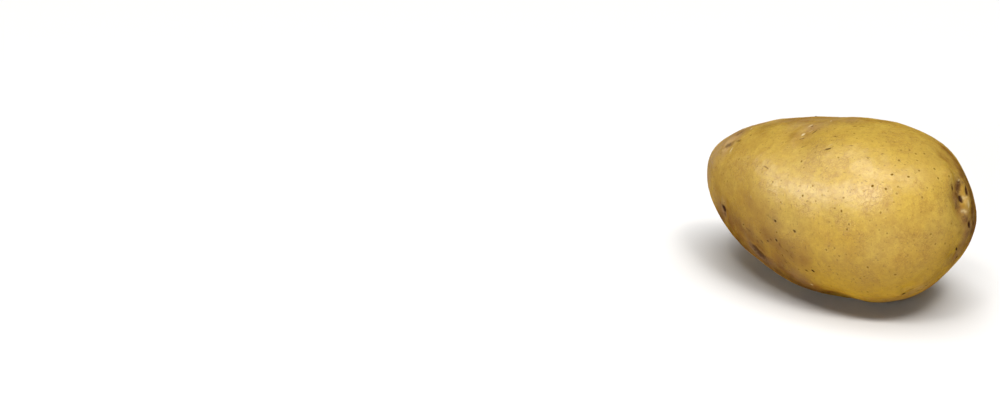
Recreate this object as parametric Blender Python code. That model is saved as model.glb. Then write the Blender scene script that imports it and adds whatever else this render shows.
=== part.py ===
"""A fresh yellow potato as it was dug: one solid tuber, lying on a small flat spot of its belly.

Run it with: blender --background --python part.py
Metres, +Z up. The long axis lies along X: the stem end, where the tuber hung on its root, is at -X
and the bud end, where the eyes crowd together, is at +X. The origin is on the surface that the
potato lies on, under the middle of its box.

A place on the skin is given as (station, turn). The station runs from -1 at the stem end to +1 at
the bud end. The turn goes round the long axis in degrees: 0 is the top, 90 the -Y side, 180 the belly.
"""

import math
from collections import namedtuple

import bmesh
import bpy
from mathutils import Matrix, Vector

MM = 0.001

# The body: an egg-shaped ellipsoid, a little squarer than a true one, with both ends bent upwards
LENGTH = 110 * MM
WIDTH = 65 * MM
HEIGHT = 64.5 * MM
FULLNESS = 2.2
BUD_END_FATTER = 0.19
END_LIFT = 2.7 * MM

# How the body lies: bud end up, in degrees, on a spot pressed flat
BUD_END_UP = 3.0
FLAT_DEPTH = 0.9 * MM

# Broad swells and hollows of the body: place, height outwards, and how far each one reaches
Swell = namedtuple("Swell", "name station turn height reach")
SWELLS = [
    Swell("stem_underside", -0.78, 116, -1.4 * MM, 15 * MM),
    Swell("stem_belly", -0.42, 140, -0.8 * MM, 14 * MM),
    Swell("stem_flank", -0.50, 68, -0.9 * MM, 14 * MM),
    Swell("stem_crest", -0.88, 20, 0.4 * MM, 10 * MM),
    Swell("front_corner", -0.22, 64, 1.0 * MM, 15 * MM),
    Swell("back_flat", -0.15, -75, -1.2 * MM, 22 * MM),
    Swell("belly_dent", 0.27, 148, -2.0 * MM, 9 * MM),
    Swell("top_dip", -0.16, -6, -0.5 * MM, 8 * MM),
    Swell("bud_crest", 0.34, -26, 0.5 * MM, 20 * MM),
    Swell("bud_dent", 0.78, -24, -1.2 * MM, 8 * MM),
    Swell("bud_knob", 0.87, -4, 0.9 * MM, 6 * MM),
    Swell("bud_back_hollow", 0.84, -60, -0.7 * MM, 10 * MM),
    Swell("bud_rim", 0.91, -95, 0.6 * MM, 9 * MM),
    Swell("bud_underside", 0.84, -160, -1.0 * MM, 10 * MM),
]

# Eyes: place, slant of the long way out of the girth in degrees, width along the long way, depth of
# the hollow, and height of the brow, which lies on the stem side where the slant is 0
Eye = namedtuple("Eye", "name station turn slant width depth brow")
EYES = [
    Eye("crown_eye", 0.965, -14, 90, 17 * MM, 2.2 * MM, 0.9 * MM),
    Eye("crown_underside_eye", 0.955, 176, 10, 10 * MM, 0.9 * MM, 0.5 * MM),
    Eye("bud_shoulder_eye", 0.76, -112, -12, 14 * MM, 1.5 * MM, 0.8 * MM),
    Eye("bud_belly_eye", 0.74, 148, 8, 12 * MM, 0.9 * MM, 0.5 * MM),
    Eye("back_crest_eye", 0.44, -62, 10, 15 * MM, 1.4 * MM, 0.8 * MM),
    Eye("back_low_eye", 0.22, -128, -8, 14 * MM, 1.3 * MM, 0.7 * MM),
    Eye("top_eye", -0.05, 23, -10, 16 * MM, 0.8 * MM, 0.5 * MM),
    Eye("front_low_eye", -0.25, 118, -65, 13 * MM, 0.7 * MM, 0.4 * MM),
    Eye("back_eye", -0.26, -72, 6, 14 * MM, 1.3 * MM, 0.7 * MM),
    Eye("stem_front_eye", -0.59, 96, 0, 8 * MM, 0.6 * MM, 0.3 * MM),
    Eye("stem_top_eye", -0.66, 31, 0, 12 * MM, 0.8 * MM, 0.5 * MM),
    Eye("stem_back_eye", -0.64, -128, -6, 12 * MM, 1.1 * MM, 0.6 * MM),
]
# Parts of an eye as shares of half its width
HOLLOW_STEM_SHARE = 0.45
HOLLOW_BUD_SHARE = 0.75
BROW_BACK_SHARE = 0.62
BROW_BEND_SHARE = 0.35
BROW_THICKNESS = 1.6 * MM
BUD_RADIUS = 1.6 * MM
# Height of the bud in the hollow, as a share of the hollow's depth
BUD_HEIGHT_SHARE = 0.5

# The scar at the stem end: a round dimple with the dry stub of the root in it
STEM_SCAR_RADIUS = 4 * MM
STEM_SCAR_DEPTH = 2.2 * MM
STEM_STUB_RADIUS = 1.5 * MM
STEM_STUB_HEIGHT = 1.9 * MM

# Mesh: squares along one side of the cube that the sphere starts from, and how far from an eye's
# middle the skin has its squares halved, as a share of the eye's width
SQUARES = 22
FINE_REACH = 0.8
STEP = 0.001

SKIN_COLOUR = (0.56, 0.38, 0.12, 1.0)
SKIN_ROUGHNESS = 0.45


def clear_scene():
    for obj in list(bpy.data.objects):
        bpy.data.objects.remove(obj)


def direction(station, turn):
    """The unit vector from the middle of the body to a place on the skin."""
    angle = math.radians(turn)
    girth = math.sqrt(1.0 - station * station)
    return Vector((station, -girth * math.sin(angle), girth * math.cos(angle)))


def body_point(u):
    """The smooth body's skin in the direction u: a squared ellipsoid, fatter at the bud end."""
    full = sum(abs(c) ** FULLNESS for c in u) ** (1.0 / FULLNESS)
    x, y, z = (c / full for c in u)
    girth = 1.0 + BUD_END_FATTER * x
    return Vector((LENGTH / 2 * x, WIDTH / 2 * y * girth, HEIGHT / 2 * z * girth + END_LIFT * x * x))


def skin_axes(u, slant=0.0):
    """Outward normal and two directions in the skin: towards the bud end and round the girth, slanted."""
    side = Vector((1, 0, 0)).cross(u)
    side = side.normalized() if side.length > STEP else Vector((0, 1, 0))
    along = side.cross(u).normalized()
    if along.x < 0:
        along.negate()
    here = body_point(u)
    to_bud = (body_point((u + along * STEP).normalized()) - here).normalized()
    round_girth = (body_point((u + side * STEP).normalized()) - here).normalized()
    out = to_bud.cross(round_girth).normalized()
    if out.dot(u) < 0:
        out.negate()
    tilt = math.radians(slant)
    first = to_bud * math.cos(tilt) + round_girth * math.sin(tilt)
    second = round_girth * math.cos(tilt) - to_bud * math.sin(tilt)
    return out, first, second


def bell(distance, reach):
    """A smooth bump: 1 at the middle, about a third at the reach."""
    return math.exp(-((distance / reach) ** 2))


def eye_relief(eye, along, across):
    """Height of one eye at a point that far along its short way and across its long way."""
    half = eye.width / 2
    hollow_share = HOLLOW_BUD_SHARE if along > 0 else HOLLOW_STEM_SHARE
    hollow = -eye.depth * bell(along, half * hollow_share) * bell(across, half)
    brow_line = BROW_BEND_SHARE * across * across / half - half * BROW_BACK_SHARE
    brow = eye.brow * bell(along - brow_line, BROW_THICKNESS) * bell(across, half)
    bud = eye.depth * BUD_HEIGHT_SHARE * bell(math.hypot(along, across), BUD_RADIUS)
    return hollow + brow + bud


def stem_scar_relief(start):
    """Height of the dimple and the root stub at the stem end."""
    away = (start - body_point(Vector((-1, 0, 0)))).length
    dimple = -STEM_SCAR_DEPTH * bell(away, STEM_SCAR_RADIUS)
    return dimple + STEM_STUB_HEIGHT * bell(away, STEM_STUB_RADIUS)


def skin_point(u, swell_centres, eye_frames):
    """The finished skin in the direction u: the body, its swells, its eyes and its stem scar."""
    start = body_point(u)
    out = skin_axes(u)[0]
    height = stem_scar_relief(start)
    for swell, centre in swell_centres:
        height += swell.height * bell((start - centre).length, swell.reach)
    for eye, centre, axes in eye_frames:
        offset = start - centre
        if offset.dot(axes[0]) > -eye.width:
            height += eye_relief(eye, offset.dot(axes[1]), offset.dot(axes[2]))
    return start + out * height


def frames_of_eyes():
    frames = []
    for eye in EYES:
        u = direction(eye.station, eye.turn)
        frames.append((eye, body_point(u), skin_axes(u, eye.slant)))
    return frames


def centres_of_swells():
    return [(swell, body_point(direction(swell.station, swell.turn))) for swell in SWELLS]


def sphere_of_squares(bm):
    """A cube of small squares blown up to the unit sphere, with the squares kept nearly equal."""
    bmesh.ops.create_cube(bm, size=2.0)
    bmesh.ops.subdivide_edges(bm, edges=bm.edges[:], cuts=SQUARES - 1, use_grid_fill=True)
    for vert in bm.verts:
        vert.co = Vector(math.tan(c * math.pi / 4) for c in vert.co).normalized()


def halve_squares_near(bm, spots):
    """Halves the squares near each (middle, reach), so that fine relief has edges to bend."""
    near = []
    for edge in bm.edges:
        middle = body_point(((edge.verts[0].co + edge.verts[1].co) / 2).normalized())
        if any((middle - spot).length < reach for spot, reach in spots):
            near.append(edge)
    bmesh.ops.subdivide_edges(bm, edges=near, cuts=1, use_grid_fill=True)
    for vert in bm.verts:
        vert.co.normalize()


def lay_down(bm):
    """Turns the body to how it lies, slices the flat spot, and sets the origin under the box's middle."""
    lie = Matrix.Rotation(math.radians(-BUD_END_UP), 3, "Y")
    bmesh.ops.rotate(bm, verts=bm.verts[:], matrix=lie)
    floor = min(vert.co.z for vert in bm.verts) + FLAT_DEPTH
    cut = bmesh.ops.bisect_plane(
        bm,
        geom=bm.verts[:] + bm.edges[:] + bm.faces[:],
        plane_co=(0, 0, floor),
        plane_no=(0, 0, -1),
        clear_outer=True,
    )
    rim = [item for item in cut["geom_cut"] if isinstance(item, bmesh.types.BMEdge)]
    bmesh.ops.contextual_create(bm, geom=rim)
    low = [min(vert.co[axis] for vert in bm.verts) for axis in range(2)]
    high = [max(vert.co[axis] for vert in bm.verts) for axis in range(2)]
    middle = Vector(((low[0] + high[0]) / 2, (low[1] + high[1]) / 2, floor))
    bmesh.ops.translate(bm, verts=bm.verts[:], vec=-middle)
    bmesh.ops.recalc_face_normals(bm, faces=bm.faces[:])


def skin_material():
    material = bpy.data.materials.new("potato_skin")
    material.use_nodes = True
    shader = material.node_tree.nodes["Principled BSDF"]
    shader.inputs["Base Color"].default_value = SKIN_COLOUR
    shader.inputs["Roughness"].default_value = SKIN_ROUGHNESS
    return material


def make_potato():
    bm = bmesh.new()
    swell_centres = centres_of_swells()
    eye_frames = frames_of_eyes()
    sphere_of_squares(bm)
    fine_spots = [(centre, eye.width * FINE_REACH) for eye, centre, _ in eye_frames]
    fine_spots.append((body_point(Vector((-1, 0, 0))), 2 * STEM_SCAR_RADIUS))
    halve_squares_near(bm, fine_spots)
    for vert in bm.verts:
        vert.co = skin_point(vert.co.copy(), swell_centres, eye_frames)
    lay_down(bm)
    mesh = bpy.data.meshes.new("potato")
    bm.to_mesh(mesh)
    bm.free()
    mesh.shade_smooth()
    mesh.materials.append(skin_material())
    potato = bpy.data.objects.new("potato", mesh)
    bpy.context.scene.collection.objects.link(potato)
    return potato


clear_scene()
make_potato()
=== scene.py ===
"""The looks of a fresh yellow potato in a pale studio: its skin's fine relief, colours, pores and scars.

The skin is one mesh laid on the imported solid. Marks that the photograph shows are placed by their
pixels, through the camera, on the skin that carries them. The hidden sides get like marks from a
seeded draw.
"""

import math
from collections import namedtuple

import bpy
import numpy as np
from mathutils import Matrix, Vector
from mathutils.bvhtree import BVHTree
from mathutils.kdtree import KDTree


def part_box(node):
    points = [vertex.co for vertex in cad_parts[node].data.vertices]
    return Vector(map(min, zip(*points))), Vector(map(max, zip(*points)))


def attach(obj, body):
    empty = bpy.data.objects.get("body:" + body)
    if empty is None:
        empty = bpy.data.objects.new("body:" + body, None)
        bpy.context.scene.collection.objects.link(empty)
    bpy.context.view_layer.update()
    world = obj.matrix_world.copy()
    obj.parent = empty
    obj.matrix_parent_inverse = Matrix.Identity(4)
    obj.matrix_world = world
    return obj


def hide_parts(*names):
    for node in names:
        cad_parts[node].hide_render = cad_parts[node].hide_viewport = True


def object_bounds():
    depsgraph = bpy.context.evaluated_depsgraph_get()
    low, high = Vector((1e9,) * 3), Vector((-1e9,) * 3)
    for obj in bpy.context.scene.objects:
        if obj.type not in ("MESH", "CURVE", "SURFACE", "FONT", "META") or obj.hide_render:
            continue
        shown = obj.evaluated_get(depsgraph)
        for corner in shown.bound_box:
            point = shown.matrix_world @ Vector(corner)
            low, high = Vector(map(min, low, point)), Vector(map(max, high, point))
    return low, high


MM = 0.001
SEED = 7

# The photograph's frame and its camera: a 100 mm lens on a 36 mm sensor
PHOTO_WIDTH = 1000
PHOTO_HEIGHT = 400
LENS = 100.0
SENSOR = 36.0
VIEW_AZIMUTH = 41.5
VIEW_ELEVATION = 22.0
CENTRE_PIXEL = (833.4, 200.2)
PIXELS_PER_METRE = 2700.0
FOCAL_PIXELS = PHOTO_WIDTH * LENS / SENSOR

# Mesh of the skin: squares along the potato and across it
SQUARES_LONG = 172
SQUARES_ACROSS = 104

# Corners of the solid nearer than this are one corner, and skin as low as this is on the flat spot
JOINED = 0.001 * MM
ON_FLAT = 0.01 * MM

# The solid's facets are rounded by this share, and then evened out by passes in and out
ROUNDING = 0.75
SMOOTH_PASSES = 30
SMOOTH_IN = 0.50
SMOOTH_OUT = -0.53

# Waves of the skin: wavelength and height in millimetres. Each is a sum of sines of about that wavelength.
WAVES = ((17, 0.16), (6, 0.06), (2.4, 0.022))
SINES = 24
SINE_SPREAD = (0.7, 1.4)

# Layers of colour that are stored at the mesh corners
LAYERS = ("ochre", "mauve", "rust", "gold", "dark", "pale")

# A soft spot ends at DAB_END times its radius, and the dabs of a stroke are DAB_STEP radii apart
DAB_END = 2.2
DAB_STEP = 0.8

# Small marks are stamps. A stamp stores its own flat axes at the mesh corners round it, so the shader
# can draw its outline finer than the mesh. Stamps of one kind that would meet go to different sets.
# They keep STAMP_MARGIN millimetres apart, and past a stamp its axes are STAMP_FAR.
STAMP_SETS = {"pore": 3, "rust": 4, "dark": 3, "pale": 2}
STAMP_MARGIN = 0.75
STAMP_FAR = 9.0

# A bent stamp's bow is lowered by this, so that the stamp stays round its middle
BOW_LEVEL = 0.33

# Eyes: middle of each in millimetres, its short way towards the bud end, its width, and how stained it is
Eye = namedtuple("Eye", "name middle short_way width stain")
HIDDEN_EYES = [
    Eye("bud_shoulder_eye", (43.7, 23.6, 26.1), (0.76, -0.62, 0.12), 14, 0.8),
    Eye("back_crest_eye", (24.3, 29.4, 48.7), (0.97, -0.23, 0.17), 15, 0.7),
    Eye("back_low_eye", (13.6, 27.2, 11.3), (0.99, -0.08, -0.04), 14, 0.8),
    Eye("back_eye", (-15.1, 29.2, 40.2), (0.96, 0.19, 0.19), 14, 0.7),
    Eye("stem_back_eye", (-36.2, 18.2, 16.8), (0.88, 0.30, -0.37), 12, 0.8),
]

# A hidden eye's buds: the place of each along the eye in half widths, and its height in millimetres
EYE_BUDS = ((-0.3, 0.16), (0.02, 0.32), (0.33, 0.14))
BUD_RADIUS = 1.3
BROW_WIDTH = 0.6

# The stem scar in millimetres: its middle, its rings of colour as layer, radius and strength, the number
# of its cracks, their distances from the middle and their half lengths
STEM_SCAR = (-55.1, 0.2, 31.3)
STEM_RINGS = (("mauve", 6.0, 0.6), ("rust", 3.6, 0.9), ("dark", 1.9, 0.9))
STEM_CRACKS = 14
STEM_CRACK_PLACES = (2.6, 4.2)
STEM_CRACK_LENGTHS = (0.7, 1.4)

# A mark runs from one pixel to another. Its radius and its press are in millimetres. A press above zero
# dents the skin and one below zero raises it, at PRESS_SHARES of the way. Its bend bows the mark sideways.
Mark = namedtuple("Mark", "layer start end radius strength press bend", defaults=(0.0, 0.0))
PRESS_SHARES = (0.2, 0.5, 0.8)
CROWN_EYE_MARKS = [
    Mark("rust", (951.2, 184.8), (953.2, 191.2), 1.10, 0.75, 0.12),
    Mark("dark", (952.2, 186.6), (952.9, 189.6), 0.60, 0.80),
    Mark("rust", (958.9, 181.2), (958.2, 194), 2.00, 1.00, 0.35),
    Mark("dark", (959.1, 182), (958.4, 191), 1.10, 0.65),
    Mark("rust", (957.2, 192), (956.8, 206), 2.40, 0.90, 0.20),
    # A painted glint at the top of the eye
    Mark("pale", (958.8, 180.4), (959.3, 179.8), 0.35, 0.55),
    Mark("gold", (962.4, 187), (963.2, 193.4), 1.10, 0.65, -0.25),
    Mark("dark", (965.8, 186.4), (967, 194.2), 0.95, 1.00, 0.60),
    Mark("dark", (960.4, 197), (961.4, 200.8), 1.05, 1.00, 0.40),
    Mark("gold", (964.2, 200), (965.2, 206), 1.30, 0.75, -0.45),
    Mark("pale", (965.2, 199.6), (966, 205), 0.90, 0.15),
    Mark("pale", (967.8, 200.6), (968.5, 207), 0.50, 0.50),
    # A painted highlight along the top of the pale wedge
    Mark("pale", (963, 197.4), (966, 197), 0.40, 0.40),
    Mark("pale", (961.4, 211.2), (966, 211), 0.45, 0.60, -0.15, 0.6),
    Mark("rust", (963, 216), (967, 220.5), 1.60, 0.85, 0.10),
    Mark("rust", (971.4, 197), (972.8, 219.5), 1.90, 0.90, 0.35),
    Mark("dark", (971.8, 207), (972.4, 217), 0.70, 0.60),
    Mark("dark", (969.1, 222.8), (969.6, 226.2), 1.15, 1.00, 0.30),
    Mark("dark", (973, 221.8), (973.3, 225), 0.90, 0.90, 0.15),
    Mark("gold", (947.6, 171), (948.6, 176), 3.00, 0.10, -0.60),
    Mark("rust", (936.4, 151), (938.4, 152), 0.50, 0.35),
    Mark("rust", (946.6, 158), (948.6, 159), 0.50, 0.40, 0.05),
]
STEM_TOP_MARKS = [
    Mark("rust", (725, 146.8), (733.4, 142.2), 1.60, 0.80, 0.20),
    Mark("dark", (725.6, 146.4), (730, 143.8), 0.80, 0.50),
    Mark("rust", (735.4, 141.2), (741, 140.8), 0.85, 0.85, 0.10, 0.5),
    Mark("rust", (735.4, 135.6), (744.4, 130.6), 1.10, 0.80, 0.05),
    Mark("pale", (730.4, 151.4), (732.4, 147.8), 0.60, 1.00, -0.08),
    Mark("pale", (744.6, 128.8), (748.6, 127.4), 0.80, 0.90),
    Mark("pale", (751, 129), (751.6, 128.2), 0.40, 0.60),
    Mark("rust", (750.2, 135.2), (751, 134.6), 0.50, 0.70),
    Mark("pale", (750.6, 196), (751.2, 197.6), 0.40, 0.25),
    Mark("dark", (706.2, 183.6), (706.6, 185.2), 0.50, 0.80, -0.20),
    Mark("dark", (708.2, 190.4), (708.8, 192), 0.50, 0.80, -0.20),
]
TOP_MARKS = [
    Mark("pale", (802.6, 134.8), (804.6, 133.6), 0.55, 1.00, -0.15),
    # A painted shadow line under the pale flake
    Mark("rust", (797.9, 139), (805.5, 137.4), 0.42, 0.85, 0.12, 0.4),
    Mark("pale", (808.8, 126.8), (812.6, 124.8), 0.35, 0.80, -0.08),
    Mark("dark", (811.4, 126.8), (812.8, 126), 0.35, 0.60, 0.05),
    Mark("dark", (812.2, 133.4), (817, 129.8), 0.36, 0.70, 0.12),
    Mark("pale", (809, 132), (812.6, 129.8), 0.32, 0.35),
    Mark("rust", (801, 147.6), (806.4, 145.4), 0.55, 0.70, 0.05),
    Mark("rust", (815.2, 148.6), (818.2, 145), 0.40, 0.65, 0.05),
    Mark("dark", (825.4, 149.6), (830.8, 148), 0.48, 0.80, 0.15),
    Mark("rust", (823, 150.2), (831.4, 147.8), 0.60, 0.60),
    Mark("pale", (828.6, 145.8), (832, 144.2), 0.32, 0.40, -0.05),
    Mark("rust", (853.4, 126.2), (857, 126), 0.42, 0.85, 0.05),
    Mark("rust", (859, 126), (865.6, 126.2), 0.32, 0.80, 0.05),
    Mark("rust", (867, 124.6), (870, 125), 0.40, 0.50),
    Mark("rust", (867, 120.2), (869.4, 120.2), 0.40, 0.60),
    Mark("rust", (849.8, 145.6), (853.4, 145.8), 0.42, 0.65),
    Mark("rust", (833.4, 136), (837.8, 136.4), 0.45, 0.60),
    Mark("pale", (830.6, 121.4), (831.4, 120.2), 0.36, 0.60),
    Mark("mauve", (794, 128.6), (795, 128), 1.20, 0.45),
    Mark("dark", (815.5, 117.2), (816.1, 116.8), 0.50, 0.90, -0.25),
    Mark("rust", (763.4, 165.8), (768.2, 168.6), 0.38, 0.95, 0.10, 0.6),
    Mark("rust", (761.8, 169.8), (763.2, 166.4), 0.30, 0.55, 0.05),
    Mark("rust", (866, 157.6), (870, 157.4), 0.32, 0.60, 0.0, 0.9),
    Mark("rust", (866.4, 159.8), (869.8, 159.6), 0.30, 0.40, 0.0, -0.9),
    Mark("rust", (880.8, 154), (884.6, 153.8), 0.32, 0.70, 0.0, 0.9),
    Mark("rust", (872.6, 151), (877, 150.6), 0.32, 0.35, 0.0, -0.9),
    Mark("dark", (811.8, 270.2), (813.8, 271.6), 0.55, 1.00, 0.15),
    Mark("dark", (805.6, 270.2), (807.2, 271), 0.48, 0.80, 0.12),
]
LOW_MARKS = [
    Mark("dark", (722.8, 207), (724, 209.8), 1.20, 1.00, 0.30),
    Mark("rust", (723.2, 206.4), (725.2, 216), 1.70, 0.90, 0.10),
    Mark("rust", (752.6, 245.6), (766, 259.4), 2.30, 1.00, 0.15),
    Mark("dark", (753.2, 246.2), (764, 257.4), 2.10, 0.62, 0.10),
    Mark("mauve", (764, 258), (774, 265), 1.50, 0.60),
    Mark("rust", (743.4, 246.4), (744.6, 247.6), 0.50, 0.80),
    Mark("rust", (766, 214.4), (775, 220.6), 0.50, 0.45, 0.05),
    Mark("dark", (774.6, 220.4), (776, 221.4), 0.60, 0.70, 0.08),
    Mark("dark", (776, 239.6), (777, 240.8), 0.60, 0.75, 0.08),
    Mark("dark", (793.6, 230.8), (794.8, 231.8), 0.60, 0.65, 0.08),
    Mark("rust", (760, 239.6), (764, 244.4), 0.60, 0.45),
    Mark("rust", (782, 254.2), (783.4, 257), 0.50, 0.60),
    Mark("dark", (761, 240.6), (762.4, 242.6), 0.50, 0.45),
    Mark("dark", (767.2, 240.6), (768.6, 241.2), 0.50, 0.55),
    Mark("dark", (770.4, 239), (771.6, 240), 0.45, 0.45),
    Mark("dark", (779, 243), (781.6, 247), 0.45, 0.35),
    Mark("dark", (786, 250), (788, 252), 0.45, 0.35),
    Mark("dark", (785, 261.6), (786.6, 263), 0.50, 0.45),
    Mark("dark", (747, 228.4), (750.4, 231), 0.60, 0.30),
    Mark("dark", (757, 240.6), (758, 242.2), 0.45, 0.40),
    Mark("rust", (818, 262), (820, 266.4), 0.45, 0.40),
    Mark("dark", (790, 255), (792.6, 258), 0.45, 0.30),
    Mark("dark", (776, 250), (778, 253.4), 0.45, 0.30),
    Mark("rust", (783, 258), (790, 264), 1.10, 0.40),
    Mark("rust", (801, 278), (806, 282), 0.90, 0.45),
    Mark("rust", (808, 279), (813, 283), 0.80, 0.35),
    Mark("pale", (811.4, 284.4), (812.4, 284.9), 0.50, 0.70, -0.05),
    # Painted shade along the bottom outline
    Mark("rust", (808, 287.4), (818, 290.4), 0.80, 0.80, 0.10),
    Mark("rust", (819, 290.6), (828.4, 292.4), 0.70, 0.90, 0.10),
    Mark("dark", (903, 294.6), (905.2, 293.8), 0.60, 1.00, 0.25),
    Mark("rust", (909.4, 290.4), (912.8, 289.2), 0.70, 0.80, 0.10),
    Mark("rust", (917.4, 291.6), (919.6, 290.6), 0.65, 0.80, 0.10),
    Mark("rust", (921.4, 290.2), (922.6, 289.4), 0.50, 0.80, 0.05),
    Mark("dark", (926.2, 286), (927.4, 285.4), 0.60, 0.80, 0.12),
    Mark("dark", (937.4, 279.8), (938.4, 279.2), 0.60, 0.90, 0.15),
    Mark("rust", (940.6, 276.8), (944, 274.6), 0.60, 0.80, 0.05),
    Mark("dark", (956.3, 247.8), (956.8, 250.2), 0.55, 1.00, 0.20),
    Mark("rust", (955, 252), (958, 257), 1.60, 0.60, 0.10),
    Mark("dark", (956.6, 258), (957.6, 257), 0.60, 0.85, 0.15),
    Mark("rust", (962.6, 238.4), (962.8, 240), 0.60, 0.60),
    Mark("rust", (967.2, 234.4), (967.6, 236), 0.60, 0.50),
]

# Broad dusting and tints, some of them painted shade: layer, radius in millimetres, strength and the pixels
# of their middles
Patch = namedtuple("Patch", "layer radius strength middles")
# Painted shade along the lower outline and the underside, over some real browning and dust
LOW_RIM_TINT_AND_SHADE_PATCHES = [
    Patch("ochre", 5, 1.00, [
        (712, 203), (721, 217), (730, 231), (738, 240), (747, 249), (755, 256), (765, 263), (778, 271),
        (790, 278), (798, 283), (808, 288), (816, 290), (829, 291)]),
    Patch("ochre", 6, 1.00, [
        (722, 212), (731, 224), (740, 236), (750, 247), (759, 254), (770, 262), (782, 269), (792, 276),
        (803, 282), (815, 287)]),
    Patch("ochre", 7, 0.85, [(728, 212), (740, 226), (750, 236), (760, 246), (778, 260)]),
    Patch("ochre", 5, 0.70, [
        (792, 270), (806, 280), (841, 293), (851, 297), (870, 300), (885, 301), (896, 299), (907, 297),
        (919, 293)]),
    Patch("rust", 5, 0.90, [
        (714, 209), (724, 224), (733, 236), (742, 245), (751, 254), (761, 262), (772, 269), (782, 275),
        (794, 282), (804, 287), (814, 291), (826, 292)]),
    Patch("rust", 5, 0.55, [
        (722, 212), (731, 224), (734, 222), (740, 236), (742, 230), (749, 246), (750, 237), (759, 254),
        (760, 247), (770, 262), (782, 269), (784, 268), (802, 281)]),
    Patch("rust", 5, 0.45, [(792, 276), (803, 282), (814, 287), (826, 290)]),
    Patch("mauve", 5, 0.50, [(752, 250), (768, 262), (800, 279), (922, 288), (950, 268)]),
    Patch("dark", 3.5, 0.50, [
        (713, 204), (722, 218), (731, 231), (739, 240), (747, 248), (756, 255.5), (766, 263), (778, 271),
        (790, 278), (799, 283.5), (809, 288)]),
]
# Painted shade on the left flank and the lower body, over some real browning
FLANK_TINT_AND_SHADE_PATCHES = [
    Patch("ochre", 18, 0.20, [(860, 272), (915, 256)]),
    Patch("ochre", 12, 0.22, [(742, 150), (740, 175), (745, 200)]),
    Patch("ochre", 8, 0.38, [(720, 158), (720, 176), (727, 195), (743, 207), (751, 220)]),
    Patch("ochre", 7, 0.55, [(749, 205), (758, 214)]),
    Patch("ochre", 6, 0.80, [(766, 234), (772, 240), (780, 247), (790, 254), (801, 259)]),
    Patch("ochre", 6, 0.50, [(718, 192), (742, 196), (742, 206), (750, 214)]),
    Patch("ochre", 5, 0.40, [(768, 232), (771, 219), (776, 228), (778, 238), (788, 246)]),
    Patch("rust", 5, 0.26, [(771, 237), (778, 243), (786, 250)]),
    Patch("rust", 4, 0.25, [(774, 222), (776, 232), (776, 240)]),
]
# A darker band along the top outline: partly real dust, partly painted shade
TOP_DUST_AND_SHADE_PATCHES = [
    Patch("ochre", 6, 0.60, [
        (738, 133), (752, 126), (764, 122), (775, 120), (790, 119), (805, 119), (820, 119)]),
    Patch("ochre", 5, 0.35, [
        (840, 119), (855, 119), (870, 120), (888, 122), (902, 126), (916, 131), (931, 139)]),
    Patch("ochre", 5, 0.45, [(801, 136), (812, 128)]),
    Patch("rust", 3, 0.35, [
        (754, 125), (764, 122), (776, 119), (790, 119), (806, 118), (822, 118), (836, 118), (850, 119),
        (864, 119), (880, 121)]),
    Patch("rust", 4, 0.40, [
        (764, 127), (776, 124), (790, 122), (806, 122), (822, 122), (836, 122), (850, 122)]),
    Patch("rust", 4, 0.30, [(745, 131), (864, 123)]),
    Patch("rust", 8, 0.22, [(802, 138), (812, 154)]),
    Patch("mauve", 4, 0.60, [
        (764, 123), (776, 121), (790, 120), (806, 120), (822, 119), (836, 119), (850, 120)]),
    Patch("mauve", 5, 0.55, [(800, 124), (812, 126), (822, 124)]),
]
STEM_END_PATCHES = [
    Patch("mauve", 6, 0.95, [
        (708, 178), (708, 168), (711, 159), (716, 150), (723, 143), (731, 137), (740, 131)]),
    Patch("mauve", 5, 0.60, [(709, 188), (714, 198), (720, 208), (750, 127)]),
    Patch("mauve", 4, 0.50, [(724, 150), (734, 141)]),
]
# Stains and dust round the crown eye, and painted shade in the dent above it and along the right outline
BUD_END_STAIN_AND_SHADE_PATCHES = [
    Patch("ochre", 5, 1.00, [
        (931, 286), (942, 278), (953, 267), (963, 254), (970, 241), (974, 226), (975, 210)]),
    Patch("ochre", 3, 1.00, [
        (944, 148), (951, 155), (957, 163), (962, 171), (967, 181), (971, 192), (974, 203)]),
    Patch("ochre", 3, 0.90, [
        (957, 186), (956, 196), (960, 210), (966, 220), (967, 232), (963, 244), (955, 257)]),
    Patch("ochre", 3, 0.75, [(942, 156), (947, 160), (951, 165)]),
    Patch("ochre", 2.5, 0.90, [(953, 159), (958, 167), (962, 176), (966, 184), (969, 192)]),
    Patch("rust", 5, 0.85, [(946, 276), (957, 263), (967, 249), (973, 234), (976, 218), (976, 205)]),
    Patch("rust", 5, 0.70, [(953, 264), (960, 254), (966, 244), (970, 234)]),
    Patch("rust", 4, 0.60, [
        (961, 179), (968, 194), (970, 208), (970, 222), (967, 236), (960, 249), (950, 262)]),
    Patch("rust", 4, 0.50, [(930, 282), (940, 273)]),
    Patch("rust", 3, 0.80, [
        (957, 199), (965, 218), (970, 194), (972, 202), (972, 210), (972, 218), (969, 232)]),
    Patch("rust", 3, 0.70, [(948, 152), (955, 160), (961, 168), (966, 177), (970, 187), (973, 196)]),
    Patch("rust", 2.5, 0.50, [(955, 163), (960, 171), (964, 180), (968, 188)]),
    Patch("rust", 2, 0.80, [(961, 176), (963, 182), (957, 190), (969, 186)]),
    Patch("mauve", 4, 0.40, [(970, 230), (966, 242), (960, 252)]),
    Patch("dark", 3, 0.50, [
        (963, 174), (967, 181), (970, 188), (972, 198), (974, 208), (974, 218), (972, 230)]),
    Patch("dark", 2, 0.25, [(958, 184), (957, 196), (958, 207), (959, 225), (960, 232)]),
]

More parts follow.
